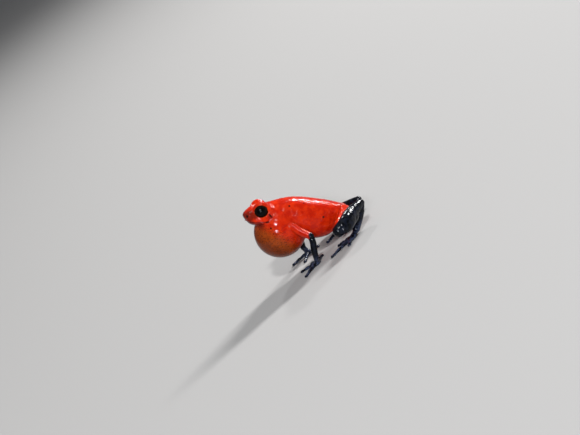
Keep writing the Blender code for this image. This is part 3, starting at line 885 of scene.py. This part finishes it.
class Shader:
    """Builds one material's nodes."""

    def __init__(self, name):
        self.material = bpy.data.materials.new(name)
        self.material.use_nodes = True
        self.tree = self.material.node_tree
        self.surface = self.tree.nodes["Principled BSDF"]

    def add(self, kind, inputs=(), **settings):
        """A node with its settings and inputs; an input is a value or another node's socket."""
        node = self.tree.nodes.new(kind)
        for key, value in settings.items():
            setattr(node, key, value)
        for key, value in dict(inputs).items():
            self.put(node.inputs[key], value)
        return node

    def put(self, socket, value):
        if isinstance(value, bpy.types.NodeSocket):
            self.tree.links.new(value, socket)
        else:
            socket.default_value = value

    def math(self, operation, *values):
        node = self.add("ShaderNodeMath", operation=operation)
        for socket, value in zip(node.inputs, values):
            self.put(socket, value)
        return node.outputs[0]

    def ramp(self, value, low, high, to_low=0.0, to_high=1.0):
        inputs = {"Value": value, "From Min": low, "From Max": high, "To Min": to_low, "To Max": to_high}
        return self.add("ShaderNodeMapRange", inputs, interpolation_type="SMOOTHSTEP").outputs[0]

    def mask(self, name):
        """One of the skin's masks."""
        return self.add("ShaderNodeAttribute", attribute_name=name).outputs["Fac"]

    def mix(self, share, one, other):
        """A colour between two. Sockets 6 and 7 and output 2 are the node's ones for colours."""
        node = self.add("ShaderNodeMix", data_type="RGBA")
        self.put(node.inputs[0], share)
        self.put(node.inputs[6], one)
        self.put(node.inputs[7], other)
        return node.outputs[2]

    def noise(self, vector, scale, detail=2.0, roughness=0.5):
        inputs = {"Vector": vector, "Scale": scale, "Detail": detail, "Roughness": roughness}
        return self.add("ShaderNodeTexNoise", inputs).outputs[0]

    def millimetres(self):
        """Places in the animal's own frame, in millimetres."""
        coordinates = self.add("ShaderNodeTexCoord").outputs["Object"]
        inputs = {"Vector": coordinates, "Location": tuple(-ORIGIN / MM), "Scale": (1 / MM,) * 3}
        return self.add("ShaderNodeMapping", inputs).outputs[0]


def rgb(red, green, blue):
    return (red, green, blue, 1.0)


# Colours; a pair runs from the darker to the lighter patches.
RED = (rgb(0.42, 0.0100, 0.0013), rgb(0.56, 0.023, 0.0026))
SAC_BROWN = (rgb(0.225, 0.033, 0.0036), rgb(0.33, 0.052, 0.006))
# darker brown: painted shade on the sac's front and underside
SAC_UNDERSIDE_SHADE = rgb(0.150, 0.025, 0.0042)
SAC_FLECK = rgb(0.050, 0.013, 0.0045)
# painted shade on the snout's side, round the eardrum and under the chin
HEAD_SHADE_RED = rgb(0.145, 0.0085, 0.0028)
# painted highlight on the lids' rims
RIM_HIGHLIGHT_RED = rgb(0.62, 0.058, 0.006)
BLUE_BLACK = (rgb(0.002, 0.0025, 0.004), rgb(0.006, 0.008, 0.016))
# grey-blue painted sheen on hands and feet
PAINTED_SHEEN_BLUE = rgb(0.034, 0.044, 0.082)
# painted shade in folds, creases and the nostril, and the black of spots and marks
SHADE_AND_MARK_BLACK = rgb(0.012, 0.003, 0.002)
PUPIL_BLACK = rgb(0.0015, 0.0015, 0.0015)
IRIS_BROWN = (rgb(0.003, 0.0015, 0.001), rgb(0.009, 0.004, 0.002))
FLOOR_GREY = rgb(0.385, 0.378, 0.370)
SKY = rgb(0.80, 0.82, 0.86)


def skin_material():
    shader = Shader("frog skin")
    place = shader.millimetres()
    dark, sac, head_shade, rim, digits, painted_shade_and_marks = map(shader.mask, ("dark", "sac", "head_shade", "rim", "digits", "painted_shade_and_marks"))

    # Mottled red and brown on the sac, with painted shade on the snout's side, the chin and the sac's
    # underside, and a painted highlight on the lids' rims
    mottle = shader.noise(place, 0.9, 3)
    red = shader.mix(shader.ramp(mottle, 0.35, 0.65), *RED)
    brown = shader.mix(shader.ramp(mottle, 0.3, 0.7), *SAC_BROWN)
    # painted shade on the lowest, frontmost part of the sac
    sac_brown_and_shade = shader.mix(shader.ramp(sac, 0.75, 1.0), brown, SAC_UNDERSIDE_SHADE)
    colour = shader.mix(shader.ramp(sac, 0.25, 0.75), red, sac_brown_and_shade)
    # painted shade on the snout's side, round the eardrum and under the chin
    colour = shader.mix(shader.ramp(head_shade, 0.05, 0.7, 0.0, 0.9), colour, HEAD_SHADE_RED)
    # painted highlight on the lids' rims
    colour = shader.mix(shader.math("MULTIPLY", rim, 0.5), colour, RIM_HIGHLIGHT_RED)
    flecks = shader.ramp(shader.noise(place, 5.0, 2), 0.56, 0.63, 0.0, 0.9)
    flecks = shader.math("MULTIPLY", flecks, shader.ramp(sac, 0.1, 0.4))
    colour = shader.mix(flecks, colour, SAC_FLECK)

    # Blue-black limbs with a ragged edge, and grey-blue patches of painted sheen on hands and feet
    fine = shader.math("MULTIPLY", shader.math("SUBTRACT", shader.noise(place, 2.6, 3), 0.5), 0.6)
    broad = shader.math("MULTIPLY", shader.math("SUBTRACT", shader.noise(place, 0.8, 2), 0.5), 1.3)
    ragged = shader.math("ADD", dark, shader.math("ADD", fine, broad))
    blue = shader.mix(shader.ramp(shader.noise(place, 1.2, 2), 0.4, 0.7), *BLUE_BLACK)
    sheen_share = shader.math("MULTIPLY", digits, shader.ramp(shader.noise(place, 1.6, 2), 0.38, 0.60))
    blue = shader.mix(sheen_share, blue, PAINTED_SHEEN_BLUE)
    colour = shader.mix(shader.ramp(ragged, -0.08, 0.10), colour, blue)

    # painted shade in folds, creases and the nostril, with the dark marks and spots
    colour = shader.mix(shader.ramp(painted_shade_and_marks, 0.15, 0.9, 0.0, 0.92), colour, SHADE_AND_MARK_BLACK)
    shader.put(shader.surface.inputs["Base Color"], colour)

    # Wet gloss with a fine grain
    roughness = shader.ramp(shader.noise(place, 3.0, 2), 0.3, 0.7, 0.08, 0.14)
    shader.put(shader.surface.inputs["Roughness"], roughness)
    shader.surface.inputs["Specular IOR Level"].default_value = 0.11
    shader.surface.inputs["Coat Weight"].default_value = 0.12
    shader.surface.inputs["Coat IOR"].default_value = 1.40
    shader.surface.inputs["Coat Roughness"].default_value = 0.04
    inputs = {"Vector": place, "Scale": 3.4}
    grain = shader.add("ShaderNodeTexVoronoi", inputs, feature="SMOOTH_F1").outputs[0]
    inputs = {"Height": grain, "Strength": 0.25, "Distance": 0.00004}
    bump = shader.add("ShaderNodeBump", inputs, invert=True)
    shader.put(shader.surface.inputs["Normal"], bump.outputs[0])
    return shader.material


def eye_material():
    """Almost black: the dark iris only just shows round the pupil."""
    shader = Shader("wet eye")
    coordinates = shader.add("ShaderNodeTexCoord").outputs["Object"]
    inputs = {0: coordinates, 1: (0, 0, EYE_RADIUS * MM)}
    from_pupil = shader.add("ShaderNodeVectorMath", inputs, operation="DISTANCE").outputs["Value"]
    share = shader.math("DIVIDE", from_pupil, EYE_RADIUS * MM)
    iris = shader.math("MULTIPLY", shader.ramp(share, 0.58, 0.64), shader.ramp(share, 0.98, 0.90))
    fleck = shader.ramp(shader.noise(coordinates, 4000.0, 3), 0.35, 0.65)
    brown = shader.mix(fleck, *IRIS_BROWN)
    shader.put(shader.surface.inputs["Base Color"], shader.mix(iris, PUPIL_BLACK, brown))
    shader.surface.inputs["Roughness"].default_value = 0.03
    shader.surface.inputs["Specular IOR Level"].default_value = 0.07
    return shader.material


def make_eye(side):
    """An eyeball whose own Z axis is its gaze."""
    centre, gaze, along = eye_axes(SIDES[side])[:3]
    vertices, faces = ball(np.zeros(3), (EYE_RADIUS,) * 3, sides=64, rings=40)
    mesh = bpy.data.meshes.new(f"eyeball_{side}")
    mesh.from_pydata((vertices * MM).tolist(), [], faces)
    mesh.shade_smooth()
    obj = bpy.data.objects.new(f"eyeball_{side}", mesh)
    bpy.context.scene.collection.objects.link(obj)
    turn = Matrix(np.stack((along, np.cross(gaze, along), gaze), axis=1).tolist()).to_4x4()
    obj.matrix_world = Matrix.Translation(Vector(centre * MM + ORIGIN)) @ turn
    return obj


skin.data.materials.append(skin_material())
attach(skin, "root")
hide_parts(*[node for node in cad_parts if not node.startswith("eye_")])
wet_eye = eye_material()
for side in SIDES:
    eye = make_eye(side)
    eye.data.materials.append(wet_eye)
    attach(eye, "root")
    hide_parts(f"eye_{side}")

# Floor, light and camera


def picture_axes():
    """The picture's right and up, and the direction to the camera, on the floor frame."""
    level = np.array((math.cos(CAMERA_TURN), -math.sin(CAMERA_TURN), 0))
    back = np.array((-math.sin(CAMERA_TURN) * math.cos(CAMERA_HEIGHT),
                     -math.cos(CAMERA_TURN) * math.cos(CAMERA_HEIGHT), math.sin(CAMERA_HEIGHT)))
    upright = np.cross(back, level)
    right = level * math.cos(CAMERA_ROLL) - upright * math.sin(CAMERA_ROLL)
    up = level * math.sin(CAMERA_ROLL) + upright * math.cos(CAMERA_ROLL)
    return right, up, back


RIGHT, UP, BACK = picture_axes()


def aimed(obj, place, target, up=(0, 0, 1)):
    """Sets an object at a place, facing a target."""
    back = unit(np.asarray(place, float) - target)
    right = unit(np.cross(up, back))
    turn = Matrix(np.stack((right, np.cross(back, right), back), axis=1).tolist()).to_4x4()
    obj.matrix_world = Matrix.Translation(Vector(place)) @ turn
    return obj


def picture(right, up, back):
    """A direction given by the picture."""
    return RIGHT * right + UP * up + BACK * back


MIDDLE_HEIGHT = 8.0  # of the animal above the floor, where the lamps aim


def lamp(name, direction, distance, size, watts, colour=(1, 1, 1), width=None):
    """A round lamp, or one as wide as given in the picture's direction to the right."""
    data = bpy.data.lights.new(name, "AREA")
    data.shape = "RECTANGLE" if width else "DISK"
    data.size = width or size
    if width:
        data.size_y = size
    data.energy = watts
    data.color = colour
    obj = bpy.data.objects.new(name, data)
    bpy.context.scene.collection.objects.link(obj)
    middle = ORIGIN + np.array((0, 0, MIDDLE_HEIGHT * MM))
    direction = unit(direction)
    aimed(obj, middle + direction * distance, middle, np.cross(direction, RIGHT))
    return obj


PHOTO_SIZE = (580, 435)
LENS, SENSOR = 100.0, 36.0
PIXELS_PER_MM = 5.0
FLOOR_POINT_PIXEL = (324.1, 251.9)  # where the photo shows the animal frame's origin
MIDDLE_DEPTH = 3.0  # of the animal, towards the camera, in millimetres


def make_camera():
    distance = LENS / SENSOR * PHOTO_SIZE[0] / PIXELS_PER_MM
    right = (PHOTO_SIZE[0] / 2 - FLOOR_POINT_PIXEL[0]) / PIXELS_PER_MM
    up = (FLOOR_POINT_PIXEL[1] - PHOTO_SIZE[1] / 2) / PIXELS_PER_MM
    data = bpy.data.cameras.new("camera")
    data.lens, data.sensor_width = LENS, SENSOR
    data.clip_start, data.clip_end = 0.01, 10
    obj = bpy.data.objects.new("camera", data)
    bpy.context.scene.collection.objects.link(obj)
    place = ORIGIN + picture(right, up, distance + MIDDLE_DEPTH) * MM
    aimed(obj, place, place - BACK, UP)
    bpy.context.scene.camera = obj


def make_floor():
    mesh = bpy.data.meshes.new("floor")
    reach = 3.0
    mesh.from_pydata([(-reach, -reach, 0), (reach, -reach, 0), (reach, reach, 0), (-reach, reach, 0)], [],
                     [(0, 1, 2, 3)])
    floor = bpy.data.objects.new("floor", mesh)
    bpy.context.scene.collection.objects.link(floor)
    shader = Shader("pale floor")
    shader.surface.inputs["Base Color"].default_value = FLOOR_GREY
    shader.surface.inputs["Roughness"].default_value = 0.8
    mesh.materials.append(shader.material)


def make_world():
    world = bpy.data.worlds.new("studio")
    world.use_nodes = True
    background = world.node_tree.nodes["Background"]
    background.inputs["Color"].default_value = SKY
    background.inputs["Strength"].default_value = 0.20
    bpy.context.scene.world = world


make_camera()
make_floor()
make_world()
lamp("softbox above", picture(0.20, 0.92, -0.32), 1.0, 0.10, 13.0, width=0.36)
lamp("softbox behind", picture(-0.35, 0.72, -0.60), 1.2, 0.11, 2.6)
lamp("large softbox for fill", picture(-0.45, 0.80, 0.40), 1.4, 1.0, 1.2)
lamp("main lamp", picture(-0.22, 0.45, 0.86), 1.0, 0.10, 5.8)
lamp("small lamp by the camera", picture(-0.15, -0.02, 0.98), 1.0, 0.06, 4.2, (0.86, 0.91, 1.0), width=0.16)
bpy.context.scene.view_settings.view_transform = "Standard"
